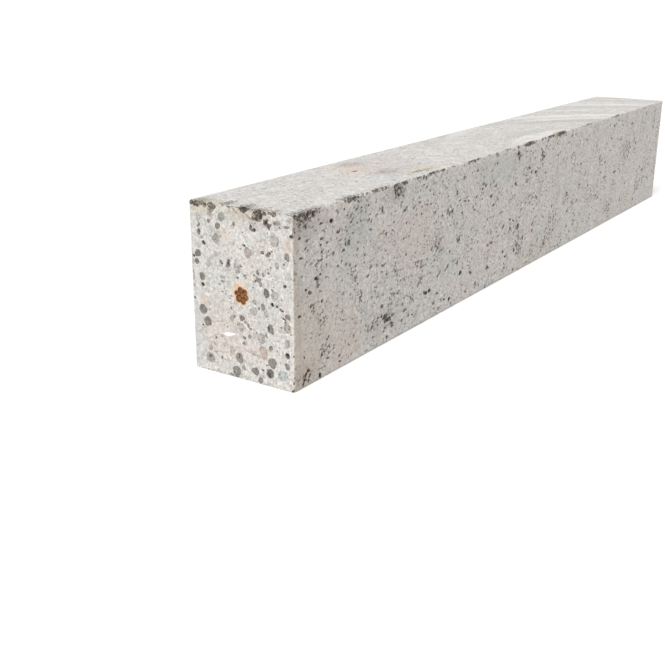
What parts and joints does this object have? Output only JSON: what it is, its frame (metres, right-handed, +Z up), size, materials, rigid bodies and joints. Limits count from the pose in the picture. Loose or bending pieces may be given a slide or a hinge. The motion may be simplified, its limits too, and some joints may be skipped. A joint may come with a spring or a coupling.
{
  "type": "prestressed concrete lintel",
  "caption": "Short plain rectangular concrete beam cast round a central steel strand, to carry the masonry over a door or window opening.",
  "frame": {"origin": "middle of the soffit, where the lintel stands", "axes": "+X along the lintel's length; +Z up, from the soffit to the top; the wide faces of the section look along -Y and +Y"},
  "size_m": [0.9, 0.1, 0.14],
  "materials": {
    "concrete": "steel-mould cast, with air holes, crumbled arrises and sawn ends",
    "strand_steel": "cut with a disc, then rusted brown"
  },
  "bodies": {
    "root": {"concrete_beam": "concrete", "king_wire": "strand_steel", "outer_wires": "strand_steel"}
  },
  "joints": []
}
